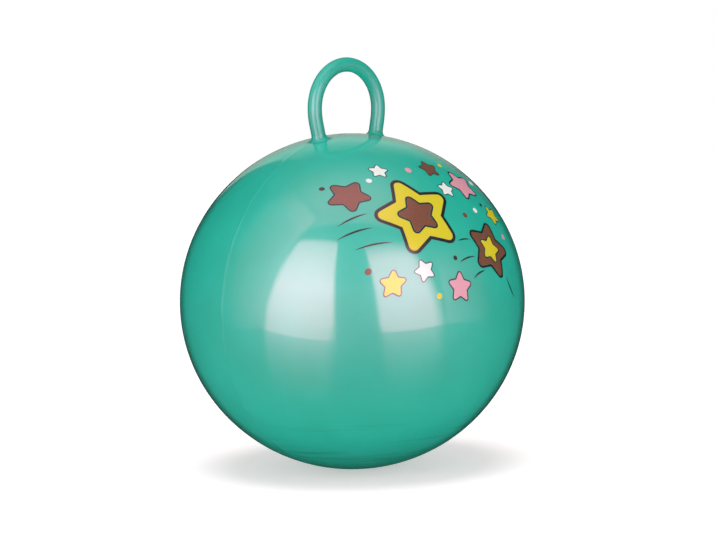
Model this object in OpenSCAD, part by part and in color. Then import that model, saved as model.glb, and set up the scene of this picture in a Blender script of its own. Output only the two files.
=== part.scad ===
// A child's hopper ball: a hollow vinyl ball with a loop handle on its crown,
// a valve socket and its stopper at the back, and a printed front.
// Millimetres, +Z up. The origin is the middle of the patch on which it stands.
// The loop and the parting line lie in the XZ plane, and the print faces -Y.

/* [Ball] */
// Width of the inflated ball at its middle
ball_d = 450; // [380:5:520]
// How much lower than wide the inflated ball is
ball_flatness = 12; // [4:1:30]
// Thickness of the moulded skin
skin_wall = 1.2; // [0.8:0.1:2.5]
// Width of the flat patch on which the ball stands
foot_d = 48; // [24:1:90]
// Width of the parting line left where the halves of the mould met
seam_w = 0.8; // [0.4:0.1:2]
// Height of the parting line above the skin
seam_h = 0.25; // [0.1:0.05:0.5]

/* [Handle] */
// Thickness of the round grip
grip_d = 18.4; // [14:0.2:24]
// Wall of the hollow grip
grip_wall = 3; // [1.5:0.1:5]
// Width of the loop, centre to centre of the grip
loop_w = 112.6; // [90:0.2:140]
// Height of the loop's widest place above the crown of the ball
loop_rise = 33; // [28:0.5:60]
// Radius by which each leg bends in towards the ball
leg_bend_r = 80; // [50:1:120]
// Radius of the fillet at the root of each leg
root_fillet_r = 8; // [4:0.5:12]
// Thickness of that fillet at its outer edge
root_edge_t = 0.3; // [0.2:0.05:0.6]

/* [Valve] */
// Width of the socket's face, where it shows in the skin
socket_face_d = 20; // [18:0.5:24]
// Width of the flange that holds the socket from inside
socket_flange_d = 31; // [27:0.5:40]
// Thickness of that flange
socket_flange_t = 1.8; // [1.4:0.1:3]
// Width of the sleeve that stands into the ball
socket_sleeve_d = 13; // [11:0.5:16]
// Length of the sleeve behind the flange
socket_sleeve_l = 15; // [8:0.5:25]
// Thickness of the pad that stiffens the skin round the socket
pad_t = 2.4; // [2:0.1:5]
// How far the pad reaches past the flange
pad_rim = 3; // [1:0.5:8]
// Bore of the socket
valve_bore_d = 7; // [5:0.1:9]
// Width of the stopper's head
plug_head_d = 13; // [11:0.1:15]
// Thickness of the stopper's head
plug_head_t = 1.5; // [1:0.1:2]
// Bevel round the stopper's head
plug_bevel = 0.5; // [0.2:0.1:0.8]
// Length of the stopper's stem below its head
plug_stem_l = 19; // [15:0.5:26]
// Length of the taper that leads the stem in
plug_taper_l = 4; // [2:0.5:6]
// Depth of the sealing ribs round the stem
plug_rib_h = 0.4; // [0.2:0.05:0.8]
// Number of sealing ribs
plug_ribs = 3; // [1:1:4]
// Spacing of the sealing ribs
plug_rib_pitch = 3; // [2.5:0.1:3.5]

/* [Print] */
// Width of the whole printed design
print_w = 250; // [180:5:290]
// Angle from the middle of the ball up to the middle of the design
print_lift = 31; // [20:1:40]
// Turn of the design round the ball, from straight in front
print_turn = -8; // [-30:1:30]
// Thickness of the ink
ink_t = 0.2; // [0.1:0.05:0.5]

/* [Hidden] */
$fn = 96;

// Clearances
bond_gap = 0.05;    // between pieces that are bonded to each other
face_gap = 0.1;     // round the socket's face in the skin
head_gap = 0.3;     // round the stopper's head, and above it
rib_gap = 0.03;     // between the sealing ribs and the bore
ink_gap = 0.3;      // between two inks
root_step = 0.1;    // by which a leg's straight root is stouter than its bend
root_lap = 1.5;     // by which that root reaches over the bend
overrun = 2;        // by which a cut runs past what it cuts

// The ball's outline is an ellipse
half_w = ball_d / 2;
half_h = half_w - ball_flatness / 2;
ball_z = half_h * sqrt(1 - pow(foot_d / 2 / half_w, 2));    // height of its middle
seam_start = 45;                                            // turn at which its surfaces close
ball_fn = 240;

// The crown is so nearly round that each leg stands square on a sphere of this radius.
// The leg bends in until it points at that sphere's centre, and runs straight from there.
crown_r = pow(half_w, 2) / half_h;
crown_z = ball_z + half_h - crown_r;
grip_r = grip_d / 2;
bore_r = grip_r - grip_wall;
loop_r = loop_w / 2;
loop_up = crown_r + loop_rise;
bend_x = loop_r - leg_bend_r;
bend_reach = norm([bend_x, loop_up]);
root_angle = asin(leg_bend_r / bend_reach) + atan2(bend_x, loop_up);
root_top = sqrt(pow(bend_reach, 2) - pow(leg_bend_r, 2));
root_seat = crown_r + bond_gap;
fillet_x = grip_r + root_fillet_r;
fillet_up = sqrt(pow(root_seat + root_fillet_r, 2) - pow(fillet_x, 2));
flare_r = root_seat * fillet_x / (root_seat + root_fillet_r) - sqrt(2 * root_fillet_r * root_edge_t);

// The valve lies on the +Y axis of the ball, and these are distances along that axis
face_y = half_w * sqrt(1 - pow(socket_face_d / 2 / half_h, 2));
flange_y = half_w - skin_wall - pad_t;
head_y = face_y - head_gap;
seat_y = head_y - plug_head_t;
tip_y = seat_y - plug_stem_l;
stem_r = valve_bore_d / 2 - rib_gap - plug_rib_h;

// Stars: place across, place up and size, as shares of the design's width, then their turn
large_yellow_shares = [[-0.1, 0.05, 0.225, 8]];
large_brown_shares = [[0.3, -0.15, 0.15, -16]];
yellow_star_shares = [[0.44, 0.06, 0.06, 30], [-0.33, -0.27, 0.068, -12]];
brown_star_shares = [[-0.38, 0.24, 0.1, 24], [0.13, 0.335, 0.06, 4]];
pink_star_shares = [[0.3, 0.23, 0.1, 20], [0.03, -0.34, 0.075, -6]];
white_star_shares = [[0.15, 0.19, 0.052, -10], [-0.16, -0.24, 0.058, 16], [-0.17, 0.35, 0.05, -20]];
// Dots: place across, place up and radius, as shares of the design's width
yellow_dot_shares = [[0.24, 0.37, 0.014], [-0.1, -0.37, 0.014]];
brown_dot_shares = [[-0.43, -0.18, 0.016], [0.19, 0.03, 0.015]];
pink_dot_shares = [[-0.01, 0.33, 0.018], [0.47, -0.06, 0.015]];
white_dot_shares = [[0.42, 0.27, 0.016], [0.29, 0.065, 0.015], [-0.25, 0.3, 0.014]];
dark_dot_shares = [[0.03, -0.2, 0.012], [0.37, 0.11, 0.01], [-0.46, 0.33, 0.012]];
// Trails: place across, place up, length, rise and width as shares, then their turn
dark_trail_shares = [[-0.42, 0.1, 0.15, 0.013, 0.009, 9], [-0.435, 0.025, 0.17, 0.014, 0.01, 3],
                     [-0.375, -0.065, 0.18, 0.013, 0.009, -4], [0.12, -0.11, 0.085, 0.008, 0.007, 4],
                     [0.11, -0.21, 0.12, 0.011, 0.008, 14], [0.175, -0.285, 0.1, 0.011, 0.008, 24],
                     [0.435, -0.32, 0.11, 0.016, 0.009, 128], [0.385, 0.36, 0.11, 0.016, 0.009, -50]];
heart_share = 0.5;          // size of the star inside a large star, as a share of its size
tip_round_share = 0.2;      // rounding of a star's tips, as a share of its size
outline_share = 0.075;      // width of a star's dark outline, as a share of its size
tip_half_angle = 28;
tip_steps = 5;              // straight stretches in the rounding of each tip

module oval(grow = 0)
{
    scale([half_w + grow, half_h + grow])
        circle(r = 1, $fn = ball_fn);
}

// The ball as it stands, drawn in by an inset, with the patch that the floor flattens
module standing_ball(inset = 0)
{
    rotate_extrude(angle = 360, start = seam_start, $fn = ball_fn)
        intersection() {
            translate([0, ball_z])
                oval(-inset);
            translate([0, max(inset, 0)])
                square([ball_d, ball_d]);
        }
}

module on_root(side)
{
    mirror([side, 0, 0])
        translate([0, 0, crown_z])
            rotate([0, root_angle, 0])
                children();
}

module on_valve(along)
{
    translate([0, along, ball_z])
        rotate([-90, 0, 0])
            children();
}

module parting_line()
{
    difference() {
        intersection() {
            standing_ball(-seam_h);
            translate([-ball_d, -seam_w / 2, 0])
                cube([2 * ball_d, seam_w, ball_d]);
        }
        for (side = [0, 1])
            on_root(side)
                cylinder(r = flare_r + bond_gap, h = crown_r + overrun);
    }
}

// The air inside, which the pad round the socket reaches into
module air_space()
{
    difference() {
        standing_ball(skin_wall);
        on_valve(flange_y)
            cylinder(r = socket_flange_d / 2 + pad_rim, h = half_w - flange_y);
    }
}

module ball_skin()
{
    color("#2fb7b4")
        difference() {
            union() {
                standing_ball();
                parting_line();
            }
            air_space();
            on_valve(flange_y - overrun)
                cylinder(r = socket_face_d / 2 + face_gap, h = half_w - flange_y + 2 * overrun);
        }
}

module root_base()
{
    rotate_extrude()
        difference() {
            square([flare_r, fillet_up]);
            translate([fillet_x, fillet_up])
                circle(r = root_fillet_r);
            circle(r = root_seat, $fn = ball_fn);
        }
}

module loop_rod(r, root_from)
{
    translate([0, 0, crown_z + loop_up])
        rotate([90, 0, 0]) {
            rotate_extrude(angle = 180)
                translate([loop_r, 0])
                    circle(r = r);
            for (side = [0, 1])
                mirror([side, 0, 0])
                    translate([bend_x, 0, 0])
                        rotate_extrude(angle = root_angle, start = -root_angle)
                            translate([leg_bend_r, 0])
                                circle(r = r);
        }
    for (side = [0, 1])
        on_root(side)
            translate([0, 0, root_from])
                cylinder(r = r + root_step, h = root_top + root_lap - root_from);
}

module loop_handle()
{
    color("#2fb7b4")
        difference() {
            union() {
                loop_rod(grip_r, fillet_up);
                for (side = [0, 1])
                    on_root(side)
                        root_base();
            }
            loop_rod(bore_r, root_seat - overrun);
        }
}

module valve_socket()
{
    color("#f2f2ee")
        difference() {
            union() {
                on_valve(flange_y - bond_gap)
                    cylinder(d = socket_face_d, h = face_y - flange_y + bond_gap);
                on_valve(flange_y - bond_gap - socket_flange_t)
                    cylinder(d = socket_flange_d, h = socket_flange_t);
                on_valve(flange_y - bond_gap - socket_flange_t - socket_sleeve_l)
                    cylinder(d = socket_sleeve_d, h = socket_sleeve_l);
            }
            on_valve(seat_y - bond_gap)
                cylinder(r = plug_head_d / 2 + head_gap, h = face_y - seat_y + overrun);
            on_valve(flange_y - socket_flange_t - socket_sleeve_l - overrun)
                cylinder(d = valve_bore_d, h = socket_sleeve_l + socket_flange_t + pad_t + 2 * overrun);
        }
}

module valve_stopper()
{
    color("#ffffff") {
        on_valve(seat_y)
            cylinder(d = plug_head_d, h = plug_head_t - plug_bevel);
        on_valve(head_y - plug_bevel)
            cylinder(d1 = plug_head_d, d2 = plug_head_d - 2 * plug_bevel, h = plug_bevel);
        on_valve(tip_y + plug_taper_l)
            cylinder(r = stem_r, h = plug_stem_l - plug_taper_l);
        on_valve(tip_y)
            cylinder(r1 = stem_r / 2, r2 = stem_r, h = plug_taper_l);
        for (i = [1 : plug_ribs])
            on_valve(seat_y - i * plug_rib_pitch)
                rotate_extrude()
                    translate([stem_r, 0])
                        circle(r = plug_rib_h);
    }
}

// A star whose tips are arcs, drawn in from its edge by an inset
function star_points(size, inset) = [
    for (i = [0 : 4])
        for (p = concat(
            [for (s = [0 : tip_steps])
                let (turn = (90 - tip_half_angle) * (2 * s / tip_steps - 1))
                    size * (1 - tip_round_share) * [1, 0]
                    + (size * tip_round_share - inset) * [cos(turn), sin(turn)]],
            [let (tip = size * (1 - tip_round_share) + (size * tip_round_share - inset) / sin(tip_half_angle))
                tip * sin(tip_half_angle) / sin(tip_half_angle + 36) * [cos(36), sin(36)]]))
            [p.x * cos(72 * i) - p.y * sin(72 * i), p.x * sin(72 * i) + p.y * cos(72 * i)]
];

module star(place, inset)
{
    translate([place[0], place[1]] * print_w)
        rotate(place[3] + 90)
            polygon(star_points(place[2] * print_w, inset));
}

function heart(place) = [place[0], place[1], place[2] * heart_share, place[3]];

module filled_stars(places)
{
    for (place = places)
        star(place, outline_share * place[2] * print_w + ink_gap);
}

module filled_large_stars(places)
{
    difference() {
        filled_stars(places);
        for (place = places)
            star(heart(place), -ink_gap);
    }
}

module outlined_stars(places)
{
    for (place = places)
        difference() {
            star(place, 0);
            star(place, outline_share * place[2] * print_w);
        }
}

module outlined_large_stars(places)
{
    outlined_stars(places);
    outlined_stars([for (place = places) heart(place)]);
}

module dots(places)
{
    for (place = places)
        translate([place[0], place[1]] * print_w)
            circle(r = place[2] * print_w);
}

// A disc through both ends of a chord, which rises above the chord's middle
module bowed_disc(chord, rise)
{
    r = (pow(chord / 2, 2) + pow(rise, 2)) / (2 * rise);
    translate([0, rise - r])
        circle(r = r);
}

module trails(places)
{
    for (place = places)
        translate([place[0], place[1]] * print_w)
            rotate(place[5])
                difference() {
                    bowed_disc(place[2] * print_w, place[3] * print_w);
                    bowed_disc(place[2] * print_w, (place[3] - place[4]) * print_w);
                }
}

// A film of ink that follows the skin, cut to the flat shape that it is given
module printed()
{
    intersection() {
        translate([0, 0, ball_z])
            rotate_extrude(angle = 360, start = seam_start, $fn = ball_fn)
                difference() {
                    oval(bond_gap + ink_t);
                    oval(bond_gap);
                    translate([-ball_d, -ball_d])
                        square([ball_d, 2 * ball_d]);
                }
        translate([0, 0, ball_z])
            rotate([90 - print_lift, 0, print_turn])
                linear_extrude(half_w + overrun)
                    children();
    }
}

module print_dark()
{
    color("#1d1a1a")
        printed() {
            outlined_large_stars(large_yellow_shares);
            outlined_large_stars(large_brown_shares);
            outlined_stars(yellow_star_shares);
            outlined_stars(brown_star_shares);
            outlined_stars(pink_star_shares);
            outlined_stars(white_star_shares);
            dots(dark_dot_shares);
            trails(dark_trail_shares);
        }
}

module print_yellow()
{
    color("#f4c81f")
        printed() {
            filled_large_stars(large_yellow_shares);
            filled_stars([for (place = large_brown_shares) heart(place)]);
            filled_stars(yellow_star_shares);
            dots(yellow_dot_shares);
        }
}

module print_brown()
{
    color("#8a5a2b")
        printed() {
            filled_large_stars(large_brown_shares);
            filled_stars([for (place = large_yellow_shares) heart(place)]);
            filled_stars(brown_star_shares);
            dots(brown_dot_shares);
        }
}

module print_pink()
{
    color("#e58fa6")
        printed() {
            filled_stars(pink_star_shares);
            dots(pink_dot_shares);
        }
}

module print_white()
{
    color("#fbfbf8")
        printed() {
            filled_stars(white_star_shares);
            dots(white_dot_shares);
        }
}

ball_skin();
loop_handle();
valve_socket();
valve_stopper();
print_dark();
print_yellow();
print_brown();
print_pink();
print_white();
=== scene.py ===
import math

import bmesh
import bpy
from mathutils import Euler, Matrix, Vector


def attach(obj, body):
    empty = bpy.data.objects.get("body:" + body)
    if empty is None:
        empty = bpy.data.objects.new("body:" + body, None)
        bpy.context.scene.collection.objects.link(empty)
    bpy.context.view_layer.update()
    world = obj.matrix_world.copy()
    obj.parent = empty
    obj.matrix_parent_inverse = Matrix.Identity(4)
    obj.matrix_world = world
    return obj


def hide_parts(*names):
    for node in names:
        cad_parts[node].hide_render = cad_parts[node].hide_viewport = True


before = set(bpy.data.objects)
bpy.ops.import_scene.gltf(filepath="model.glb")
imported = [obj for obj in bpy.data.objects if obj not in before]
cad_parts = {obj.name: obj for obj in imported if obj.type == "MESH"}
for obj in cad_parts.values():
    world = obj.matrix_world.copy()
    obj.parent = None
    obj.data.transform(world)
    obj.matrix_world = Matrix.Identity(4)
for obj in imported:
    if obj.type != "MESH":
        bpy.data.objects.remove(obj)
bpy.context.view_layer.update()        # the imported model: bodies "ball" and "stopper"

mm = 0.001
sharpAngle = math.radians(38)        # faces that meet at more than this keep a crease between them
scene = bpy.context.scene


# Small helpers for meshes
def smoothStep(low, high, value):
    share = min(max((value - low) / (high - low), 0), 1)
    return share * share * (3 - 2 * share)


def bridge(bm, first, second):        # a band of faces between two rings of as many points
    count = len(first)
    for i in range(count):
        bm.faces.new((first[i], first[(i + 1) % count], second[(i + 1) % count], second[i]))


def capWithPoint(bm, ring, point):
    tip = bm.verts.new(point)
    for i in range(len(ring)):
        bm.faces.new((ring[i], ring[(i + 1) % len(ring)], tip))


def asMesh(bm, name):        # the pieces are closed surfaces, so their faces all turn outwards
    bmesh.ops.recalc_face_normals(bm, faces=bm.faces)
    mesh = bpy.data.meshes.new(name)
    bm.to_mesh(mesh)
    bm.free()
    return mesh


def addPiece(mesh, name, material, body, replaced):
    mesh.polygons.foreach_set("use_smooth", [True] * len(mesh.polygons))
    mesh.set_sharp_from_angle(angle=sharpAngle)
    mesh.materials.clear()
    mesh.materials.append(material)
    mesh.polygons.foreach_set("material_index", [0] * len(mesh.polygons))
    piece = bpy.data.objects.new(name, mesh)
    scene.collection.objects.link(piece)
    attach(piece, body)
    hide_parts(replaced)
    print(name, "has", len(mesh.polygons), "faces")
    return piece


# Small helpers for materials and node trees
def linearColour(hexText):        # sRGB hex to the linear colour that a node takes
    shares = [int(hexText[i:i + 2], 16) / 255 for i in (1, 3, 5)]
    return [s / 12.92 if s <= 0.04045 else ((s + 0.055) / 1.055) ** 2.4 for s in shares] + [1]


white = linearColour("#ffffff")


# A socket takes a plain value or the output of another node
def addNode(tree, kind, settings={}, sockets={}):
    node = tree.nodes.new(kind)
    for name, value in settings.items():
        setattr(node, name, value)
    for key, value in sockets.items():
        if isinstance(value, bpy.types.NodeSocket):
            tree.links.new(value, node.inputs[key])
        else:
            node.inputs[key].default_value = value
    return node


def newMaterial(name):
    material = bpy.data.materials.new(name)
    material.use_nodes = True
    material.node_tree.nodes.clear()
    return material, material.node_tree


# The camera stands where the photograph was taken, and leans a little. Its distance is in metres, and
# its lens and sensor are in mm
shot = {
    "azimuth": math.radians(-43.3),
    "elevation": math.radians(6.51),
    "lean": math.radians(1.65),
    "distance": 3.5,
    "lens": 134.7,
    "sensorWidth": 36,
    "shiftX": 0.008,
    "shiftY": 0.0436,
}

# The ball: an ellipse turned round, flattened where it stands, with a hole for the valve at the back
ball = {
    "halfWidth": 225 * mm,
    "halfHeight": 219 * mm,
    "wall": 1.2 * mm,
    "footRadius": 24 * mm,
    "seamHalfWidth": 0.4 * mm,
    "seamHeight": 0.04 * mm,
    "seamFade": 2 * mm,        # the parting line runs out over this length, under the handle's fillets
    "holeRadius": 10.1 * mm,
    "padRadius": 18.5 * mm,
    "padFace": 221.4 * mm,        # how far the pad's inner face lies from the middle
    "ovalFrom": math.radians(20),        # rings nearer to the valve than this turn into true circles
    "segments": 256,
    "bands": 62,
    # Places across the parting line and its rise there, as shares of its half width and height
    "seamShape": ((-1, 0), (-0.6, 0.75), (-0.25, 1), (0.25, 1), (0.6, 0.75), (1, 0)),
}
middle = Vector((0, 0, ball["halfHeight"] * math.sqrt(1 - (ball["footRadius"] / ball["halfWidth"]) ** 2)))

# The handle: a round hollow grip that bends in at both ends and stands square on the crown
handle = {
    "gripRadius": 9.2 * mm,
    "boreRadius": 6.2 * mm,
    "loopRadius": 56.3 * mm,
    "rise": 33 * mm,        # the loop's widest place over the crown
    "bendRadius": 80 * mm,
    "filletRadius": 8 * mm,
    "sink": 0.04 * mm,        # how far the fillet's edge sinks into the skin that it is moulded with
    "seamHeight": 0.12 * mm,
    "seamAngles": (-3, -1.6, 0, 1.6, 3),        # degrees round the grip
    "seamShape": (0, 0.8, 1, 0.8, 0),        # rise at each of these, as a share of the height
    "filletSteps": 12,
    "straightSteps": 3,
    "bendSteps": 12,
    "archSteps": 96,
    "sideSteps": 28,        # from one parting line of the grip to the other
}
crownRadius = ball["halfWidth"] ** 2 / ball["halfHeight"]
crownCentre = middle + Vector((0, 0, ball["halfHeight"] - crownRadius))
loopUp = crownRadius + handle["rise"]
bendX = handle["loopRadius"] - handle["bendRadius"]
bendReach = math.hypot(bendX, loopUp)
rootAngle = math.asin(handle["bendRadius"] / bendReach) + math.atan2(bendX, loopUp)
rootTop = math.sqrt(bendReach ** 2 - handle["bendRadius"] ** 2)
rootX = crownRadius * math.sin(rootAngle)        # where a leg's middle meets the skin
flareReach = handle["gripRadius"] + handle["filletRadius"]
flareRadius = crownRadius * flareReach / (crownRadius + handle["filletRadius"])        # where a fillet ends


# The point of the oval skin over a place in the XZ plane
def onOval(across, upward, wide, high, side):
    depth = wide * math.sqrt(max(1 - (across / wide) ** 2 - (upward / high) ** 2, 0))
    return Vector((across, side * depth, upward))


def ballRing(bm, inset, angle, raised=0):
    wide = ball["halfWidth"] - inset
    high = ball["halfHeight"] - inset
    roundness = 1 - smoothStep(ball["holeRadius"] / wide, ball["ovalFrom"], angle)
    reach = math.sin(angle)
    ring = []
    for i in range(ball["segments"]):
        around = math.tau * i / ball["segments"]
        across = reach * wide * math.cos(around)
        upward = reach * (high + (wide - high) * roundness) * math.sin(around)
        point = onOval(across, upward, wide, high, 1 if angle < math.pi / 2 else -1)
        outward = Vector((point.x / wide ** 2, point.y / wide ** 2, point.z / high ** 2)).normalized()
        fromRoot = abs(abs(across) - rootX) if upward > 0 else flareRadius
        shown = smoothStep(flareRadius - ball["seamFade"], flareRadius, fromRoot)
        ring.append(bm.verts.new(middle + point + outward * raised * shown))
    return ring


def flatRing(bm, radius, along, segments):        # a circle square to the valve's axis
    ring = []
    for i in range(segments):
        around = math.tau * i / segments
        point = Vector((radius * math.cos(around), along, radius * math.sin(around)))
        ring.append(bm.verts.new(middle + point))
    return ring


def flattenFoot(bm, rings, level):
    faces = {face for ring in rings for vert in ring for face in vert.link_faces}
    edges = {edge for face in faces for edge in face.edges}
    verts = {vert for face in faces for vert in face.verts}
    parts = list(verts) + list(edges) + list(faces)
    bmesh.ops.bisect_plane(bm, geom=parts, plane_co=(0, 0, level), plane_no=(0, 0, 1))
    for vert in verts:
        vert.co.z = max(vert.co.z, level)


def ballMesh():
    bm = bmesh.new()
    half = math.pi / 2
    seam = ball["seamHalfWidth"] / ball["halfWidth"]
    bands = ball["bands"]
    start = math.asin(ball["holeRadius"] / ball["halfWidth"])
    outer = [ballRing(bm, 0, start + (half - seam - start) * i / bands) for i in range(bands)]
    for offset, height in ball["seamShape"]:
        outer.append(ballRing(bm, 0, half + offset * seam, height * ball["seamHeight"]))
    outer += [ballRing(bm, 0, half + seam + (half - seam) * i / bands) for i in range(1, bands)]
    inset = ball["wall"]
    start = math.asin(ball["padRadius"] / (ball["halfWidth"] - inset))
    pad = (ball["holeRadius"], ball["padRadius"])
    inner = [flatRing(bm, radius, ball["padFace"], ball["segments"]) for radius in pad]
    inner += [ballRing(bm, inset, start + (math.pi - start) * i / bands) for i in range(bands)]
    for rings, depth in ((outer, 0), (inner, inset)):
        for first, second in zip(rings, rings[1:]):
            bridge(bm, first, second)
        capWithPoint(bm, rings[-1], middle - Vector((0, ball["halfWidth"] - depth, 0)))
        flattenFoot(bm, rings, depth)
    bridge(bm, outer[0], inner[0])
    return asMesh(bm, "ballSkin")


# A station is a place on the grip: its centre, the direction it runs in and its outer radius
def arcStation(centreX, arcRadius, angle):
    outward = Vector((math.cos(angle), 0, math.sin(angle)))
    centre = crownCentre + Vector((centreX, 0, loopUp)) + outward * arcRadius
    return centre, Vector((-outward.z, 0, outward.x)), handle["gripRadius"]


def handleStations():        # from one foot to the other
    axis = Vector((math.sin(rootAngle), 0, math.cos(rootAngle)))
    grip = handle["gripRadius"]
    fillet = handle["filletRadius"]
    seat = crownRadius - handle["sink"]
    filletX = grip + fillet
    filletUp = math.sqrt((seat + fillet) ** 2 - filletX ** 2)
    touch = math.atan2(filletUp, filletX)
    leg = []
    steps = handle["filletSteps"]
    for i in range(steps):
        angle = touch * (1 - i / steps)
        centre = crownCentre + axis * (filletUp - fillet * math.sin(angle))
        leg.append((centre, axis, filletX - fillet * math.cos(angle)))
    steps = handle["straightSteps"]
    for i in range(steps):
        leg.append((crownCentre + axis * (filletUp + (rootTop - filletUp) * i / steps), axis, grip))
    steps = handle["bendSteps"]
    leg += [arcStation(bendX, handle["bendRadius"], rootAngle * (i / steps - 1)) for i in range(steps)]
    steps = handle["archSteps"]
    arch = [arcStation(0, handle["loopRadius"], math.pi * i / steps) for i in range(steps + 1)]
    back = []
    for centre, direction, radius in reversed(leg):
        back.append((centre * Vector((-1, 1, 1)), direction * Vector((1, 1, -1)), radius))
    return leg + arch + back


def handleMesh():
    bm = bmesh.new()
    flank = handle["seamAngles"][-1]
    steps = handle["sideSteps"]
    section = []        # angle round the grip, and the parting line's rise there
    for base in (0, 180):
        for angle, share in zip(handle["seamAngles"], handle["seamShape"]):
            section.append((math.radians(base + angle), share * handle["seamHeight"]))
        for i in range(1, steps):
            section.append((math.radians(base + flank + (180 - 2 * flank) * i / steps), 0))
    angles, lifts = zip(*sorted(section))
    outer = []
    inner = []
    for centre, direction, radius in handleStations():
        side = Vector((direction.z, 0, -direction.x))
        rays = [side * math.cos(angle) + Vector((0, math.sin(angle), 0)) for angle in angles]
        outer.append([bm.verts.new(centre + ray * (radius + lift)) for ray, lift in zip(rays, lifts)])
        inner.append([bm.verts.new(centre + ray * handle["boreRadius"]) for ray in rays])
    for rings in (outer, inner):
        for first, second in zip(rings, rings[1:]):
            bridge(bm, first, second)
    bridge(bm, outer[0], inner[0])
    bridge(bm, outer[-1], inner[-1])
    return asMesh(bm, "loopHandle")


# The valve on the +Y axis: radii, and distances from the ball's middle
valve = {
    "clearance": 0.05 * mm,        # between faces that seat on each other
    "faceRadius": 10 * mm,
    "faceAt": 224.765 * mm,
    "flangeRadius": 15.5 * mm,
    "flangeThickness": 1.8 * mm,
    "sleeveRadius": 6.5 * mm,
    "sleeveLength": 15 * mm,
    "boreRadius": 3.5 * mm,
    "recessRadius": 6.8 * mm,
    "headRadius": 6.5 * mm,
    "headSink": 0.3 * mm,        # how far the head lies under the socket's face
    "headThickness": 1.5 * mm,
    "headBevel": 0.5 * mm,
    "gateRadius": 2.2 * mm,        # the dimple that the moulding gate leaves
    "gateDepth": 0.2 * mm,
    "stemRadius": 3.07 * mm,
    "stemLength": 19 * mm,
    "taperLength": 4 * mm,
    "ribHeight": 0.4 * mm,
    "ribPitch": 3 * mm,
    "ribs": 3,
    "edge": 0.25 * mm,        # rounding of the moulded edges
    "edgeSteps": 4,
    "ribSteps": 8,
    "gateSteps": 6,
    "segments": 96,
}
flangeAt = ball["padFace"] - valve["clearance"]
headAt = valve["faceAt"] - valve["headSink"]
headSeat = headAt - valve["headThickness"]
recessAt = headSeat - valve["clearance"]


# Each corner is a radius, a distance along the axis and a rounding
def roundedCorners(corners, closed):
    points = []
    count = len(corners)
    for i, (radius, along, rounding) in enumerate(corners):
        here = Vector((radius, along))
        if rounding == 0 or (not closed and i in (0, count - 1)):
            points.append(here)
            continue
        before = (Vector(corners[i - 1][:2]) - here).normalized()
        after = (Vector(corners[(i + 1) % count][:2]) - here).normalized()
        half = before.angle(after) / 2
        centre = here + (before + after).normalized() * rounding / math.sin(half)
        first = here + before * rounding / math.tan(half) - centre
        last = here + after * rounding / math.tan(half) - centre
        for step in range(valve["edgeSteps"] + 1):
            ray = first.lerp(last, step / valve["edgeSteps"]).normalized()
            points.append(centre + ray * rounding)
    return points


def turnedMesh(name, points, closed):        # turns a line of points round the valve's axis
    bm = bmesh.new()
    rings = [flatRing(bm, radius, along, valve["segments"]) for radius, along in points if radius > 0]
    for first, second in zip(rings, rings[1:] + rings[:1] if closed else rings[1:]):
        bridge(bm, first, second)
    if not closed:
        capWithPoint(bm, rings[0], middle + Vector((0, points[0][1], 0)))
        capWithPoint(bm, rings[-1], middle + Vector((0, points[-1][1], 0)))
    return asMesh(bm, name)


def socketMesh():
    flangeBack = flangeAt - valve["flangeThickness"]
    sleeveEnd = flangeBack - valve["sleeveLength"]
    corners = (
        (valve["boreRadius"], sleeveEnd), (valve["sleeveRadius"], sleeveEnd),
        (valve["sleeveRadius"], flangeBack), (valve["flangeRadius"], flangeBack),
        (valve["flangeRadius"], flangeAt), (valve["faceRadius"], flangeAt),
        (valve["faceRadius"], valve["faceAt"]), (valve["recessRadius"], valve["faceAt"]),
        (valve["recessRadius"], recessAt), (valve["boreRadius"], recessAt),
    )
    rounded = roundedCorners([corner + (valve["edge"],) for corner in corners], True)
    return turnedMesh("valveSocket", rounded, True)


def stopperMesh():
    stem = valve["stemRadius"]
    tip = headSeat - valve["stemLength"]
    points = [(0, tip), (stem / 2, tip), (stem, tip + valve["taperLength"])]
    steps = valve["ribSteps"]
    for rib in range(valve["ribs"], 0, -1):
        for step in range(steps + 1):
            angle = math.pi * (step / steps - 0.5)
            along = headSeat - rib * valve["ribPitch"] + valve["ribHeight"] * math.sin(angle)
            points.append((stem + valve["ribHeight"] * math.cos(angle), along))
    rim = valve["headRadius"]
    bevel = valve["headBevel"]
    edge = valve["edge"]
    head = (
        (stem, headSeat, 0), (rim, headSeat, edge), (rim, headAt - bevel, edge),
        (rim - bevel, headAt, edge), (valve["gateRadius"], headAt, 0),
    )
    points += roundedCorners(head, False)
    steps = valve["gateSteps"]
    for step in range(1, steps + 1):
        depth = valve["gateDepth"] * (1 - math.cos(math.pi * step / steps)) / 2
        points.append((valve["gateRadius"] * (1 - step / (steps + 1)), headAt - depth))
    points.append((0, headAt - valve["gateDepth"]))
    return turnedMesh("valveStopper", points, False)


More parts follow.
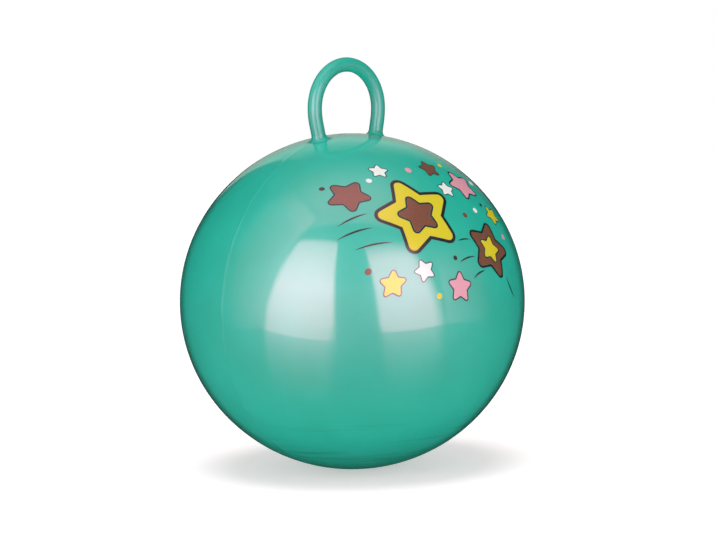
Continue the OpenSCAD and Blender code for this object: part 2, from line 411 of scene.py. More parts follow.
# The print: places across and up, sizes and widths are shares of its width, then a turn in degrees
design = {
    "width": 250 * mm,
    "lift": math.radians(31),        # of the print's middle over the ball's
    "turn": math.radians(-8),        # round the ball from its front
    "filmUnder": 0.05 * mm,        # how far the film's underside lies over the skin
    "filmThickness": 0.12 * mm,
    "inkGap": 0.3 * mm,
    "outline": 0.075,        # width of a star's outline, as a share of its size
    "heart": 0.5,        # size of the star inside a large star, as a share of it
    "tipRound": 0.2,        # radius of a star's tips, as a share of its size
    "tipHalfAngle": math.radians(28),
    "tipSteps": 6,
    "dotSteps": 32,
    "trailSteps": 20,
    "detail": 3,        # how often the flat films are divided, so that they can follow the skin
    "startAt": 1.2,        # the flat design starts this many half widths from the ball's middle
    "mergeWithin": 0.01 * mm,
    "stars": {
        "yellow": ((0.44, 0.06, 0.06, 30), (-0.33, -0.27, 0.068, -12)),
        "brown": ((-0.38, 0.24, 0.1, 24), (0.13, 0.335, 0.06, 4)),
        "pink": ((0.3, 0.23, 0.1, 20), (0.03, -0.34, 0.075, -6)),
        "white": ((0.15, 0.19, 0.052, -10), (-0.16, -0.24, 0.058, 16), (-0.17, 0.35, 0.05, -20)),
    },
    "largeStars": {"yellow": (-0.1, 0.05, 0.225, 8), "brown": (0.3, -0.15, 0.15, -16)},
    "dots": {
        "yellow": ((0.24, 0.37, 0.014), (-0.1, -0.37, 0.014)),
        "brown": ((-0.43, -0.18, 0.016), (0.19, 0.03, 0.015)),
        "pink": ((-0.01, 0.33, 0.018), (0.47, -0.06, 0.015)),
        "white": ((0.42, 0.27, 0.016), (0.29, 0.065, 0.015), (-0.25, 0.3, 0.014)),
        "dark": ((0.03, -0.2, 0.012), (0.37, 0.11, 0.01), (-0.46, 0.33, 0.012)),
    },
    "trails": (        # length, rise and width after the place
        (-0.42, 0.1, 0.15, 0.013, 0.009, 9), (-0.435, 0.025, 0.17, 0.014, 0.01, 3),
        (-0.375, -0.065, 0.18, 0.013, 0.009, -4), (0.12, -0.11, 0.085, 0.008, 0.007, 4),
        (0.11, -0.21, 0.12, 0.011, 0.008, 14), (0.175, -0.285, 0.1, 0.011, 0.008, 24),
        (0.435, -0.32, 0.11, 0.016, 0.009, 128), (0.385, 0.36, 0.11, 0.016, 0.009, -50),
    ),
    "colours": {
        "dark": "#1a1718", "yellow": "#e3d21a", "brown": "#7d4a35", "pink": "#eba3b4", "white": "#f7f7f4",
    },
}


# A flat outline, turned and moved to its place in the design
def placed(points, across, up, degrees):
    spin = Matrix.Rotation(math.radians(degrees), 2)
    return [spin @ Vector(point) + Vector((across, up)) * design["width"] for point in points]


def starOutline(star, inset):
    across, up, share, degrees = star
    size = share * design["width"]
    half = design["tipHalfAngle"]
    tipCentre = size * (1 - design["tipRound"])
    tipRadius = size * design["tipRound"] - inset
    fifth = math.tau / 5
    notch = (tipCentre + tipRadius / math.sin(half)) * math.sin(half) / math.sin(half + fifth / 2)
    points = []
    for tip in range(5):
        spin = Matrix.Rotation(fifth * tip, 2)
        for step in range(design["tipSteps"] + 1):
            angle = (math.pi / 2 - half) * (2 * step / design["tipSteps"] - 1)
            reach = tipCentre + tipRadius * math.cos(angle)
            points.append(spin @ Vector((reach, tipRadius * math.sin(angle))))
        points.append(spin @ Vector((notch * math.cos(fifth / 2), notch * math.sin(fifth / 2))))
    return placed(points, across, up, degrees + 90)


def heartOf(star):
    return (star[0], star[1], star[2] * design["heart"], star[3])


def outlineWidth(star):
    return design["outline"] * star[2] * design["width"]


def dotOutline(dot):
    across, up, share = dot
    angles = [math.tau * i / design["dotSteps"] for i in range(design["dotSteps"])]
    rays = [Vector((math.cos(angle), math.sin(angle))) for angle in angles]
    return placed([ray * share * design["width"] for ray in rays], across, up, 0)


def bow(chord, rise):        # an arc over a chord, from its right end to its left end
    radius = (chord ** 2 / 4 + rise ** 2) / (2 * rise)
    half = math.asin(chord / 2 / radius)
    steps = design["trailSteps"]
    angles = [half * (1 - 2 * i / steps) for i in range(steps + 1)]
    return [(radius * math.sin(angle), rise - radius + radius * math.cos(angle)) for angle in angles]


def trailOutline(trail):
    across, up, length, rise, width, degrees = trail
    wide = design["width"]
    upper = bow(length * wide, rise * wide)
    lower = bow(length * wide, (rise - width) * wide)
    return placed(upper + lower[-2:0:-1], across, up, degrees)


def inkOutlines(ink):        # the closed lines that bound one ink, flat
    gap = design["inkGap"]
    stars = design["stars"]
    large = design["largeStars"]
    outlines = [dotOutline(dot) for dot in design["dots"][ink]]
    if ink == "dark":
        drawn = [star for group in stars.values() for star in group]
        drawn += [star for big in large.values() for star in (big, heartOf(big))]
        for star in drawn:
            outlines += [starOutline(star, 0), starOutline(star, outlineWidth(star))]
        outlines += [trailOutline(trail) for trail in design["trails"]]
        return outlines
    filled = list(stars[ink])
    if ink in large:
        other = "brown" if ink == "yellow" else "yellow"
        filled += [large[ink], heartOf(large[other])]
        outlines.append(starOutline(heartOf(large[ink]), -gap))
    return outlines + [starOutline(star, outlineWidth(star) + gap) for star in filled]


def filmTree():        # fills flat outlines, lays them on the skin and gives them their thickness
    tree = bpy.data.node_groups.new("inkFilm", "GeometryNodeTree")
    inputs = {
        "Outlines": "Geometry", "Skin": "Object", "Detail": "Int", "Print Turn": "Vector",
        "Print Place": "Vector", "Ball Middle": "Vector", "Inward": "Vector", "Film Under": "Float",
        "Film Thickness": "Float", "Merge Within": "Float", "Ink": "Material",
    }
    for name, kind in inputs.items():
        tree.interface.new_socket(name, in_out="INPUT", socket_type="NodeSocket" + kind)
    tree.interface.new_socket("Film", in_out="OUTPUT", socket_type="NodeSocketGeometry")
    given = addNode(tree, "NodeGroupInput").outputs
    lines = addNode(tree, "GeometryNodeMeshToCurve", {}, {"Mesh": given["Outlines"]}).outputs[0]
    flat = addNode(tree, "GeometryNodeFillCurve", {"mode": "TRIANGLES"}, {"Curve": lines}).outputs[0]
    fine = addNode(tree, "GeometryNodeSubdivideMesh", {}, {
        "Mesh": flat, "Level": given["Detail"]}).outputs[0]
    turned = addNode(tree, "GeometryNodeTransform", {}, {
        "Geometry": fine, "Rotation": given["Print Turn"], "Translation": given["Print Place"]}).outputs[0]
    skin = addNode(tree, "GeometryNodeObjectInfo", {"transform_space": "RELATIVE"}, {
        "Object": given["Skin"]}).outputs["Geometry"]
    here = addNode(tree, "GeometryNodeInputPosition").outputs[0]
    hit = addNode(tree, "GeometryNodeRaycast", {}, {
        "Target Geometry": skin, "Source Position": here,
        "Ray Direction": given["Inward"]}).outputs["Hit Position"]

    def outwardBy(place, distance):        # a step away from the ball's middle
        away = addNode(tree, "ShaderNodeVectorMath", {"operation": "SUBTRACT"}, {
            0: place, 1: given["Ball Middle"]}).outputs[0]
        unit = addNode(tree, "ShaderNodeVectorMath", {"operation": "NORMALIZE"}, {0: away}).outputs[0]
        return addNode(tree, "ShaderNodeVectorMath", {"operation": "SCALE"}, {
            0: unit, "Scale": distance}).outputs[0]

    lifted = addNode(tree, "ShaderNodeVectorMath", {"operation": "ADD"}, {
        0: hit, 1: outwardBy(hit, given["Film Under"])}).outputs[0]
    under = addNode(tree, "GeometryNodeSetPosition", {}, {
        "Geometry": turned, "Position": lifted}).outputs[0]
    over = addNode(tree, "GeometryNodeExtrudeMesh", {"mode": "FACES"}, {
        "Mesh": under, "Offset": outwardBy(here, 1.0), "Offset Scale": given["Film Thickness"],
        "Individual": False}).outputs[0]
    turnedOver = addNode(tree, "GeometryNodeFlipFaces", {}, {"Mesh": under}).outputs[0]
    both = addNode(tree, "GeometryNodeJoinGeometry")
    for face in (over, turnedOver):
        tree.links.new(face, both.inputs[0])
    closed = addNode(tree, "GeometryNodeMergeByDistance", {}, {
        "Geometry": both.outputs[0], "Distance": given["Merge Within"]}).outputs[0]
    real = addNode(tree, "GeometryNodeRealizeInstances", {}, {"Geometry": closed}).outputs[0]
    inked = addNode(tree, "GeometryNodeSetMaterial", {}, {
        "Geometry": real, "Material": given["Ink"]}).outputs[0]
    addNode(tree, "NodeGroupOutput", {}, {"Film": inked})
    return tree


def filmMesh(tree, ink, skin, material):
    bm = bmesh.new()
    for outline in inkOutlines(ink):
        verts = [bm.verts.new((point.x, point.y, 0)) for point in outline]
        for i, vert in enumerate(verts):
            bm.edges.new((vert, verts[(i + 1) % len(verts)]))
    flat = bpy.data.meshes.new(ink + "Outlines")
    bm.to_mesh(flat)
    bm.free()
    holder = bpy.data.objects.new(ink + "Outlines", flat)
    scene.collection.objects.link(holder)
    spin = Euler((math.pi / 2 - design["lift"], 0, design["turn"]))
    outward = spin.to_matrix() @ Vector((0, 0, 1))
    modifier = holder.modifiers.new("film", "NODES")
    modifier.node_group = tree
    values = {
        "Skin": skin, "Detail": design["detail"], "Print Turn": spin,
        "Print Place": middle + outward * design["startAt"] * ball["halfWidth"],
        "Ball Middle": middle, "Inward": -outward, "Film Under": design["filmUnder"],
        "Film Thickness": design["filmThickness"], "Merge Within": design["mergeWithin"], "Ink": material,
    }
    for item in tree.interface.items_tree:
        if item.name in values:
            modifier[item.identifier] = values[item.name]
    evaluated = holder.evaluated_get(bpy.context.evaluated_depsgraph_get())
    mesh = bpy.data.meshes.new_from_object(evaluated)
    bpy.data.objects.remove(holder)
    return mesh


# Materials: a Mix node's colours are sockets 6 and 7, and its result is output 2
vinyl = {
    "body": "#00b69c",        # the pigment, seen straight on
    "cloud": "#0abda5",        # where the pearl lies a little thicker
    # the parting line's paler colour is a painted highlight
    "seam": "#5cc4b0",
    "streakColour": "#00a186",        # thin darker streaks low on the skin
    "mottle": 55 * mm,
    "flake": 1.6 * mm,        # real flakes are near 0.1 mm, drawn coarser so that they show
    "flakeRoughness": (0.37, 0.47),
    "ripple": 38 * mm,
    "rippleDepth": 0.25 * mm,
    "grain": 2.2 * mm,
    "grainDepth": 0.012 * mm,
    "seamHighlightZone": (0.27 * mm, 0.9 * mm),        # distances from the line between which its painted highlight fades
    "seamHighlightShare": 0.42,
    "seamHighlightPatch": 25 * mm,        # the line fades and comes back about as often
    "streakLength": 160 * mm,
    "streakHeight": 5 * mm,
    "streakZone": (95 * mm, 60 * mm),        # heights where the streaks set in and are at their fullest
    "floorLitZone": (15 * mm, 70 * mm),        # heights between which the painted rim shade grows from its share at the foot, where floor light is painted in, to full
    # share of the painted rim shade left at the foot, lightened by painted floor light
    "floorLitShare": 0.3,
}
# Rim is the painted shade along the edge: how far round to the edge it sets in and is full, and how clear
# the gloss over it is
skinFinish = {"rim": "#005f47", "rimShadeZone": (0.74, 0.89), "gloss": 1.0, "coatRoughness": 0.03}
gripFinish = {"rim": "#006a50", "rimShadeZone": (0.5, 0.95), "gloss": 0.25, "coatRoughness": 0.12}


def pearlVinyl(name, finish):
    # PVC with pearl pigment, moulded thin and inflated: a deep clear gloss over a soft satin glow.
    # The grip comes from a matt mould and is duller
    material, tree = newMaterial(name)
    place = addNode(tree, "ShaderNodeTexCoord").outputs["Object"]
    spots = addNode(tree, "ShaderNodeTexNoise", {}, {
        "Vector": place, "Scale": 1 / vinyl["mottle"], "Detail": 3.0}).outputs[0]
    mottle = addNode(tree, "ShaderNodeMapRange", {}, {
        "Value": spots, "From Min": 0.3, "From Max": 0.7}).outputs[0]
    body = addNode(tree, "ShaderNodeMix", {"data_type": "RGBA"}, {
        0: mottle, 6: linearColour(vinyl["body"]), 7: linearColour(vinyl["cloud"])}).outputs[2]
    parts = addNode(tree, "ShaderNodeSeparateXYZ", {}, {0: place}).outputs

    # Thin darker streaks low on the skin
    streakScale = (1 / vinyl["streakLength"], 1 / vinyl["streakLength"], 1 / vinyl["streakHeight"])
    flatter = addNode(tree, "ShaderNodeMapping", {}, {"Vector": place, "Scale": streakScale}).outputs[0]
    lines = addNode(tree, "ShaderNodeTexNoise", {}, {
        "Vector": flatter, "Scale": 1.0, "Detail": 3.0}).outputs[0]
    streaks = addNode(tree, "ShaderNodeMapRange", {}, {
        "Value": lines, "From Min": 0.56, "From Max": 0.68}).outputs[0]
    low = addNode(tree, "ShaderNodeMapRange", {}, {
        "Value": parts["Z"], "From Min": vinyl["streakZone"][0], "From Max": vinyl["streakZone"][1]}).outputs[0]
    streakShare = addNode(tree, "ShaderNodeMath", {"operation": "MULTIPLY"}, {0: streaks, 1: low}).outputs[0]
    streaked = addNode(tree, "ShaderNodeMix", {"data_type": "RGBA"}, {
        0: streakShare, 6: body, 7: linearColour(vinyl["streakColour"])}).outputs[2]

    # Painted shade: the skin is painted darker where it is seen edge on, and less so near the foot, where
    # painted floor light fills it
    facing = addNode(tree, "ShaderNodeLayerWeight", {}, {"Blend": 0.5}).outputs["Facing"]
    rimShadeByHeight = addNode(tree, "ShaderNodeMapRange", {}, {
        "Value": parts["Z"], "From Min": vinyl["floorLitZone"][0], "From Max": vinyl["floorLitZone"][1],
        "To Min": vinyl["floorLitShare"], "To Max": 1.0}).outputs[0]
    rimShadeShare = addNode(tree, "ShaderNodeMapRange", {}, {
        "Value": facing, "From Min": finish["rimShadeZone"][0], "From Max": finish["rimShadeZone"][1],
        "To Max": rimShadeByHeight}).outputs[0]
    rimShaded = addNode(tree, "ShaderNodeMix", {"data_type": "RGBA"}, {
        0: rimShadeShare, 6: streaked, 7: linearColour(finish["rim"])}).outputs[2]

    # The parting line is painted a little paler, in patches: a painted highlight along it
    offSeam = addNode(tree, "ShaderNodeMath", {"operation": "ABSOLUTE"}, {0: parts["Y"]}).outputs[0]
    onSeamHighlight = addNode(tree, "ShaderNodeMapRange", {}, {
        "Value": offSeam, "From Min": vinyl["seamHighlightZone"][0], "From Max": vinyl["seamHighlightZone"][1],
        "To Min": vinyl["seamHighlightShare"], "To Max": 0.0}).outputs[0]
    uneven = addNode(tree, "ShaderNodeTexNoise", {}, {
        "Vector": place, "Scale": 1 / vinyl["seamHighlightPatch"]}).outputs[0]
    kept = addNode(tree, "ShaderNodeMapRange", {}, {
        "Value": uneven, "From Min": 0.42, "From Max": 0.58}).outputs[0]
    shown = addNode(tree, "ShaderNodeMath", {"operation": "MULTIPLY"}, {0: onSeamHighlight, 1: kept}).outputs[0]
    colour = addNode(tree, "ShaderNodeMix", {"data_type": "RGBA"}, {
        0: shown, 6: rimShaded, 7: linearColour(vinyl["seam"])}).outputs[2]

    # The pearl flakes vary the satin glow, and the surface ripples a little and has a fine grain
    flakes = addNode(tree, "ShaderNodeTexVoronoi", {}, {
        "Vector": place, "Scale": 1 / vinyl["flake"]}).outputs["Color"]
    sparkle = addNode(tree, "ShaderNodeSeparateXYZ", {}, {0: flakes}).outputs[0]
    smoothest, roughest = vinyl["flakeRoughness"]
    rough = addNode(tree, "ShaderNodeMapRange", {}, {
        "Value": sparkle, "To Min": smoothest, "To Max": roughest}).outputs[0]
    ripple = addNode(tree, "ShaderNodeTexNoise", {}, {
        "Vector": place, "Scale": 1 / vinyl["ripple"], "Detail": 1.0}).outputs[0]
    waves = addNode(tree, "ShaderNodeBump", {}, {
        "Height": ripple, "Strength": 0.35, "Distance": vinyl["rippleDepth"]}).outputs[0]
    grain = addNode(tree, "ShaderNodeTexNoise", {}, {
        "Vector": place, "Scale": 1 / vinyl["grain"]}).outputs[0]
    surface = addNode(tree, "ShaderNodeBump", {}, {
        "Height": grain, "Strength": 0.15, "Distance": vinyl["grainDepth"], "Normal": waves}).outputs[0]
    shader = addNode(tree, "ShaderNodeBsdfPrincipled", {}, {
        "Base Color": colour, "Roughness": rough, "Specular IOR Level": 0.65, "IOR": 1.5,
        "Normal": surface, "Sheen Weight": 0.4, "Sheen Roughness": 0.4,
        "Sheen Tint": linearColour(vinyl["body"]), "Coat Weight": finish["gloss"],
        "Coat Roughness": finish["coatRoughness"], "Coat IOR": 1.5, "Coat Normal": surface})
    addNode(tree, "ShaderNodeOutputMaterial", {}, {"Surface": shader.outputs[0]})
    return material


whitePlastic = {
    "shade": "#dcdcd2",        # faint grey clouds in the white
    "cloud": 3 * mm,
    "cloudShare": 0.35,
    "grain": 0.25 * mm,
    "grainDepth": 0.02 * mm,
    "lightReach": 1.5 * mm,        # how far light spreads under the surface
}
# Through is how much of the light goes in and spreads
socketFinish = {"white": "#f0f0ea", "roughness": (0.36, 0.48), "through": 0.1}
stopperFinish = {"white": "#f8f8f4", "roughness": (0.28, 0.4), "through": 0.25}


def mouldedWhite(name, finish):
    # Polyethylene or stiff PVC straight from the mould: waxy white, with a fine satin texture
    material, tree = newMaterial(name)
    place = addNode(tree, "ShaderNodeTexCoord").outputs["Object"]
    spots = addNode(tree, "ShaderNodeTexNoise", {}, {
        "Vector": place, "Scale": 1 / whitePlastic["cloud"], "Detail": 3.0}).outputs[0]
    cloud = addNode(tree, "ShaderNodeMapRange", {}, {
        "Value": spots, "From Min": 0.35, "From Max": 0.65,
        "To Max": whitePlastic["cloudShare"]}).outputs[0]
    colour = addNode(tree, "ShaderNodeMix", {"data_type": "RGBA"}, {
        0: cloud, 6: linearColour(finish["white"]), 7: linearColour(whitePlastic["shade"])}).outputs[2]
    grain = addNode(tree, "ShaderNodeTexNoise", {}, {
        "Vector": place, "Scale": 1 / whitePlastic["grain"]}).outputs[0]
    texture = addNode(tree, "ShaderNodeBump", {}, {
        "Height": grain, "Strength": 0.3, "Distance": whitePlastic["grainDepth"]}).outputs[0]
    smoothest, roughest = finish["roughness"]
    rough = addNode(tree, "ShaderNodeMapRange", {}, {
        "Value": grain, "From Min": 0.3, "From Max": 0.7,
        "To Min": smoothest, "To Max": roughest}).outputs[0]
    shader = addNode(tree, "ShaderNodeBsdfPrincipled", {}, {
        "Base Color": colour, "Roughness": rough, "IOR": 1.5, "Normal": texture,
        "Subsurface Weight": finish["through"], "Subsurface Radius": (1, 1, 0.9),
        "Subsurface Scale": whitePlastic["lightReach"]})
    addNode(tree, "ShaderNodeOutputMaterial", {}, {"Surface": shader.outputs[0]})
    return material


inkLayer = {
    "skinShare": 0.2,        # how much of the skin comes through where the ink is thin
    "thinPatch": 2.5 * mm,
    "thinMost": 0.35,        # how far the thinnest places go towards that
    "mesh": 0.6 * mm,        # a real screen's threads are near 0.1 mm apart, drawn coarser to show
    "meshDepth": 0.01 * mm,
    "roughness": (0.3, 0.42),
}


def screenInk(ink):
    # Vinyl ink laid through a screen: dense and even, a little less glossy than the skin under it
    material, tree = newMaterial("screenPrintedInk." + ink)
    place = addNode(tree, "ShaderNodeTexCoord").outputs["Object"]
    full = linearColour(design["colours"][ink])
    share = inkLayer["skinShare"]
    thin = [(1 - share) * own + share * skin for own, skin in zip(full, linearColour(vinyl["body"]))]
    spots = addNode(tree, "ShaderNodeTexNoise", {}, {
        "Vector": place, "Scale": 1 / inkLayer["thinPatch"], "Detail": 4.0}).outputs[0]
    thinness = addNode(tree, "ShaderNodeMapRange", {}, {
        "Value": spots, "From Min": 0.35, "From Max": 0.75, "To Max": inkLayer["thinMost"]}).outputs[0]
    colour = addNode(tree, "ShaderNodeMix", {"data_type": "RGBA"}, {
        0: thinness, 6: full, 7: thin}).outputs[2]
    mesh = addNode(tree, "ShaderNodeTexNoise", {}, {
        "Vector": place, "Scale": 1 / inkLayer["mesh"], "Detail": 1.0}).outputs[0]
    surface = addNode(tree, "ShaderNodeBump", {}, {
        "Height": mesh, "Strength": 0.2, "Distance": inkLayer["meshDepth"]}).outputs[0]
    smoothest, roughest = inkLayer["roughness"]
    rough = addNode(tree, "ShaderNodeMapRange", {}, {
        "Value": thinness, "From Max": inkLayer["thinMost"],
        "To Min": smoothest, "To Max": roughest}).outputs[0]
    shader = addNode(tree, "ShaderNodeBsdfPrincipled", {}, {
        "Base Color": colour, "Roughness": rough, "IOR": 1.5, "Normal": surface,
        "Coat Weight": 0.7, "Coat Roughness": 0.06})
    addNode(tree, "ShaderNodeOutputMaterial", {}, {"Surface": shader.outputs[0]})
    return material


# Pieces
skinMaterial = pearlVinyl("pearlVinylInflated", skinFinish)
skinPiece = addPiece(ballMesh(), "ballSkin", skinMaterial, "ball", "ball_skin")
gripMaterial = pearlVinyl("pearlVinylGrip", gripFinish)
addPiece(handleMesh(), "loopHandle", gripMaterial, "ball", "loop_handle")
socketWhite = mouldedWhite("stiffVinylMoulded", socketFinish)
addPiece(socketMesh(), "valveSocket", socketWhite, "ball", "valve_socket")
stopperWhite = mouldedWhite("polyethyleneMoulded", stopperFinish)
addPiece(stopperMesh(), "valveStopper", stopperWhite, "stopper", "valve_stopper")
films = filmTree()
for ink in design["colours"]:
    inkMaterial = screenInk(ink)
    film = filmMesh(films, ink, skinPiece, inkMaterial)
    addPiece(film, ink + "Print", inkMaterial, "ball", "print_" + ink)
print("pieces are dressed")


# The studio: two tall windows at the front, a soft light overhead and pale paper behind. The rest is dim
# to gloss. Plain lengths are in metres
studio = {
    "floorReach": 6,
    "floorSides": 96,
    "floor": "#efe7e9",
    "floorCloud": "#f3ebed",
    "floorPatch": 0.4,
    "floorGlow": "#ffeff2",
    "floorOwn": 0.46,        # the floor's own light, for the rays that see it directly
    "skyLight": 0.42,
    "overhead": 1.76,
    "overheadAngle": math.radians(38),
    "overheadFrom": (-0.04, 0.12),        # to the camera's right and towards it, per metre of height
    "overheadAway": 2,
    "fillPower": 2.0,
    "fillSize": (1.4, 0.6),
    "fillHeight": 0.4,
    "fillSides": (-62, 64),        # degrees from the camera
    "tableLight": 0.33,        # strength where 1 is white
    "tableRadius": 1.5,
    "tableRise": 0.1 * mm,
    "panelDistance": 1.2,
    "panelColour": "#ffb0cb",
    "panelCuts": 7,
    "fullest": 0.4,        # share of a panel's height at which its light is at its fullest
}
# The dim room that gloss meets: its size, and how bright its parts are
tent = {
    "radius": 2.4,
    "height": 2.9,
    "rise": 1 * mm,        # of the table over the floor
    "sides": 72,
    "walls": 0.01,
    "ceiling": 0.12,
    "table": 0.01,
}
# Windows that only gloss meets: azimuth in degrees from the camera, corners across and over the ball's
# middle in mm. Soft is the share of the light's width or height over which its left, right, low and high
# edges fade, and ends is how much light is left at the low and at the high edge
windows = {
    "leftWindow": {
        "azimuth": -38,
        "corners": ((-395, -225), (645, -421), (660, 1470), (-100, 1230)),
        "light": 12.0, "soft": (0.1, 0.08, 0.01, 0.1), "ends": (0.52, 0.55),
    },
    "rightWindow": {
        "azimuth": 45,
        "corners": ((-705, -325), (290, -225), (-20, 1060), (-869, 1440)),
        "light": 9.9, "soft": (0.1, 0.16, 0.01, 0.3), "ends": (0.68, 0.9),
    },
    "leftWing": {
        "azimuth": -76,
        "corners": ((0, -600), (500, -600), (1080, 3400), (-1250, 3400)),
        "light": 2.4, "soft": (0.9, 0.07, 0.15, 0.35), "ends": (0.75, 1),
    },
    "rightWing": {
        "azimuth": 76,
        "corners": ((-430, -700), (420, -560), (420, 700), (-430, 900)),
        "light": 1.3, "soft": (0.06, 0.9, 0.35, 0.3), "ends": (1, 1),
    },
    "backPaper": {
        "azimuth": 180,
        "corners": ((-700, 230), (540, 245), (600, 1700), (-700, 1700)),
        "light": 0.7, "soft": (0.35, 0.05, 0.05, 0.1), "ends": (0.8, 0.2), "tint": "#e8fff2",
    },
}
# Patches of light on the table and overhead, in mm: height over the floor, and corners to the camera's
# right and away from it
patches = {
    "leftFoot": {
        "height": 2, "corners": ((-1049, -704), (-235, -1340), (-108, -750), (-1035, -700)),
        "light": 6.6, "soft": (0.02, 0.1, 0.01, 0.02), "ends": (1, 1),
    },
    "rightFoot": {
        "height": 2, "corners": ((349, -1348), (1052, -645), (1040, -680), (240, -945)),
        "light": 6.6, "soft": (0.1, 0.02, 0.01, 0.02), "ends": (1, 1),
    },
    "leftSpill": {
        "height": 2, "corners": ((-1035, -700), (-108, -750), (-50, -250), (-190, -190)),
        "light": 3.0, "soft": (0.1, 0.1, 0.01, 0.99), "ends": (1, 1),
    },
    "rightSpill": {
        "height": 2, "corners": ((240, -945), (1040, -680), (240, -200), (70, -250)),
        "light": 2.6, "soft": (0.1, 0.2, 0.01, 0.99), "ends": (1, 1),
    },
    "overheadSoftbox": {
        "height": 1718, "corners": ((-1100, -1000), (1100, -1000), (900, 700), (-900, 700)),
        "light": 1.9, "soft": (0.3, 0.3, 0.1, 0.5), "ends": (1, 0.2),
    },
}


def seenDirectly(tree):        # 1 for camera, glossy and transmission rays
    path = addNode(tree, "ShaderNodeLightPath").outputs
    first = addNode(tree, "ShaderNodeMath", {"operation": "MAXIMUM"}, {
        0: path["Is Camera Ray"], 1: path["Is Glossy Ray"]}).outputs[0]
    return addNode(tree, "ShaderNodeMath", {"operation": "MAXIMUM"}, {
        0: first, 1: path["Is Transmission Ray"]}).outputs[0]


def floorMaterial():
    # Matt studio sweep: pale and even, it keeps a soft shadow
    material, tree = newMaterial("mattSweepPainted")
    place = addNode(tree, "ShaderNodeTexCoord").outputs["Object"]
    cloud = addNode(tree, "ShaderNodeTexNoise", {}, {
        "Vector": place, "Scale": 1 / studio["floorPatch"]}).outputs[0]
    colour = addNode(tree, "ShaderNodeMix", {"data_type": "RGBA"}, {
        0: cloud, 6: linearColour(studio["floor"]), 7: linearColour(studio["floorCloud"])}).outputs[2]
    lit = addNode(tree, "ShaderNodeBsdfDiffuse", {}, {"Color": colour}).outputs[0]
    own = addNode(tree, "ShaderNodeMath", {"operation": "MULTIPLY"}, {
        0: seenDirectly(tree), 1: studio["floorOwn"]}).outputs[0]
    glow = addNode(tree, "ShaderNodeEmission", {}, {
        "Color": linearColour(studio["floorGlow"]), "Strength": own}).outputs[0]
    both = addNode(tree, "ShaderNodeAddShader", {}, {0: lit, 1: glow}).outputs[0]
    addNode(tree, "ShaderNodeOutputMaterial", {}, {"Surface": both})
    return material


def buildFloor():
    bm = bmesh.new()
    bmesh.ops.create_circle(bm, cap_ends=True, segments=studio["floorSides"], radius=studio["floorReach"])
    floor = bpy.data.objects.new("studioFloor", asMesh(bm, "studioFloor"))
    floor.data.materials.append(floorMaterial())
    scene.collection.objects.link(floor)


def buildWorld():
    world = bpy.data.worlds.new("paleStudio")
    world.use_nodes = True
    tree = world.node_tree
    tree.nodes.clear()
    light = addNode(tree, "ShaderNodeBackground", {}, {
        "Color": white, "Strength": studio["skyLight"]}).outputs[0]
    shown = addNode(tree, "ShaderNodeBackground", {}, {"Color": white, "Strength": 1.0}).outputs[0]
    both = addNode(tree, "ShaderNodeMixShader", {}, {0: seenDirectly(tree), 1: light, 2: shown}).outputs[0]
    addNode(tree, "ShaderNodeOutputWorld", {}, {"Surface": both})
    scene.world = world


def glossOnly(name, bm, material):        # part of the studio that nothing but a glossy ray meets
    mesh = bpy.data.meshes.new(name)
    bm.to_mesh(mesh)
    bm.free()
    mesh.materials.append(material)
    card = bpy.data.objects.new(name, mesh)
    scene.collection.objects.link(card)
    card.visible_camera = False
    card.visible_diffuse = False
    card.visible_transmission = False
    card.visible_shadow = False


# Cloth lit from behind. Light is its strength, or a function that adds nodes and gives the socket of one
# that varies over the cloth
def glowMaterial(name, tint, light):
    material, tree = newMaterial(name)
    faded = callable(light)        # a faded light lets what lies behind it shine through
    glow = addNode(tree, "ShaderNodeEmission", {}, {
        "Color": linearColour(tint), "Strength": light(tree) if faded else light}).outputs[0]
    clear = addNode(tree, "ShaderNodeBsdfTransparent", {}, {"Color": white}).outputs[0]
    both = addNode(tree, "ShaderNodeAddShader", {}, {0: clear, 1: glow}).outputs[0]
    addNode(tree, "ShaderNodeOutputMaterial", {}, {"Surface": both if faded else glow})
    return material


def buildPanel(name, points, panel):        # a four-cornered light with soft edges
    def fading(tree):
        place = addNode(tree, "ShaderNodeTexCoord").outputs["UV"]
        parts = addNode(tree, "ShaderNodeSeparateXYZ", {}, {0: place}).outputs
        left, right, bottom, top = panel["soft"]
        low, high = panel["ends"]
        fullest = studio["fullest"]
        total = panel["light"]
        # The axis, where the light starts and ends to change on it, and its share before and after
        ramps = (
            (0, 0.0, left, 0.0, 1.0), (0, 1 - right, 1.0, 1.0, 0.0), (1, 0.0, bottom, 0.0, 1.0),
            (1, 1 - top, 1.0, 1.0, 0.0), (1, 0.0, fullest, low, 1.0), (1, fullest, 1.0, 1.0, high),
        )
        for axis, start, end, before, after in ramps:
            share = addNode(tree, "ShaderNodeMapRange", {}, {
                "Value": parts[axis], "From Min": start, "From Max": end,
                "To Min": before, "To Max": after}).outputs[0]
            total = addNode(tree, "ShaderNodeMath", {"operation": "MULTIPLY"}, {
                0: share, 1: total}).outputs[0]
        return total

    bm = bmesh.new()
    face = bm.faces.new([bm.verts.new(point) for point in points])
    layer = bm.loops.layers.uv.new("UVMap")
    for loop, uv in zip(face.loops, ((0, 0), (1, 0), (1, 1), (0, 1))):
        loop[layer].uv = uv
    bmesh.ops.subdivide_edges(bm, edges=bm.edges, cuts=studio["panelCuts"], use_grid_fill=True)
    glossOnly(name, bm, glowMaterial(name + "Light", panel.get("tint", studio["panelColour"]), fading))


# Level directions from the ball: towards an azimuth counted from the camera's, and to its right
def fromCamera(degrees):
    facing = shot["azimuth"] + math.radians(degrees)
    return Vector((math.sin(facing), -math.cos(facing), 0)), Vector((math.cos(facing), math.sin(facing), 0))


def buildPanels():
    for name, window in windows.items():
        outward, across = fromCamera(window["azimuth"])
        centre = middle + outward * studio["panelDistance"]
        points = [centre + across * u * mm + Vector((0, 0, v * mm)) for u, v in window["corners"]]
        buildPanel(name, points, window)
    towards, across = fromCamera(0)
    for name, patch in patches.items():
        rise = Vector((0, 0, patch["height"] * mm))
        points = [(across * u - towards * v) * mm + rise for u, v in patch["corners"]]
        buildPanel(name, points, patch)


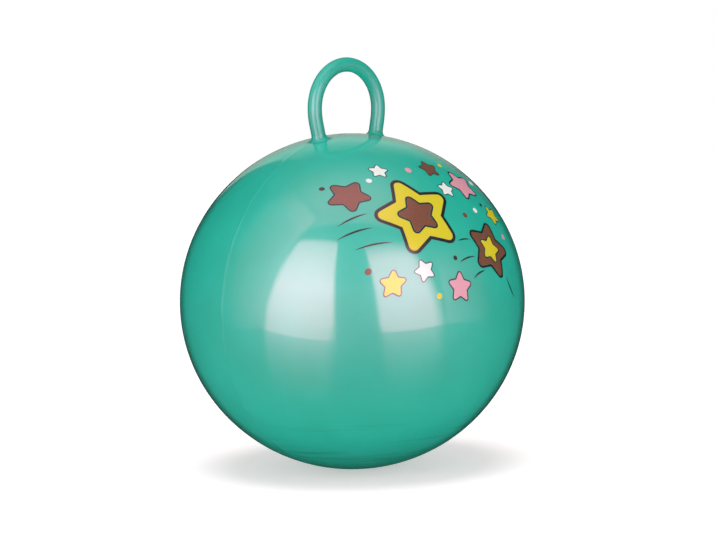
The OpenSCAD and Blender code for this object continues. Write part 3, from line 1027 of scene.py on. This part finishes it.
def buildTent():
    steps = tent["sides"]
    rings = []
    for height in (tent["rise"], tent["height"]):
        outward = [fromCamera(360 * i / steps)[0] for i in range(steps)]
        rings.append([direction * tent["radius"] + Vector((0, 0, height)) for direction in outward])
    low, high = rings
    sets = {"walls": [], "ceiling": [high], "table": [low]}
    for i in range(steps):
        j = (i + 1) % steps
        sets["walls"].append((low[i], low[j], high[j], high[i]))
    for part, faces in sets.items():
        bm = bmesh.new()
        for points in faces:
            bm.faces.new([bm.verts.new(point) for point in points])
        glossOnly("tent." + part, bm, glowMaterial("dimCloth." + part, studio["panelColour"], tent[part]))


def buildLamps():
    towards, across = fromCamera(0)
    right, near = studio["overheadFrom"]
    overhead = bpy.data.lights.new("overheadSoft", "SUN")
    overhead.energy = studio["overhead"]
    overhead.angle = studio["overheadAngle"]
    above = across * right + towards * near + Vector((0, 0, 1))
    lamps = [(overhead, middle + above * studio["overheadAway"])]
    for azimuth in studio["fillSides"]:
        fill = bpy.data.lights.new("windowFill", "AREA")
        fill.energy = studio["fillPower"]
        fill.shape = "RECTANGLE"
        fill.size, fill.size_y = studio["fillSize"]
        place = fromCamera(azimuth)[0] * studio["panelDistance"] + Vector((0, 0, studio["fillHeight"]))
        lamps.append((fill, place))
    table = bpy.data.lights.new("tableLight", "AREA")        # lies on the sweep and lights the underside
    table.energy = studio["tableLight"] * (math.pi * studio["tableRadius"]) ** 2        # strength to power
    table.shape = "DISK"
    table.size = 2 * studio["tableRadius"]
    lamps.append((table, Vector((0, 0, studio["tableRise"]))))
    for light, place in lamps:
        lamp = bpy.data.objects.new(light.name, light)
        lamp.location = place
        lamp.rotation_euler = (middle - place).to_track_quat("-Z", "Y").to_euler()
        lamp.visible_camera = False
        lamp.visible_glossy = False
        scene.collection.objects.link(lamp)


def buildCamera():
    camera = bpy.data.cameras.new("camera")
    camera.lens = shot["lens"]
    camera.sensor_width = shot["sensorWidth"]
    camera.shift_x = shot["shiftX"]
    camera.shift_y = shot["shiftY"]
    holder = bpy.data.objects.new("camera", camera)
    towards, across = fromCamera(0)
    back = towards * math.cos(shot["elevation"]) + Vector((0, 0, math.sin(shot["elevation"])))
    upright = back.cross(across)
    right = across * math.cos(shot["lean"]) - upright * math.sin(shot["lean"])
    up = upright * math.cos(shot["lean"]) + across * math.sin(shot["lean"])
    matrix = Matrix((right, up, back)).transposed().to_4x4()
    matrix.translation = middle + back * shot["distance"]
    holder.matrix_world = matrix
    scene.collection.objects.link(holder)
    scene.camera = holder


buildFloor()
buildWorld()
buildPanels()
buildTent()
buildLamps()
buildCamera()
scene.view_settings.view_transform = "Standard"
print("studio is set")
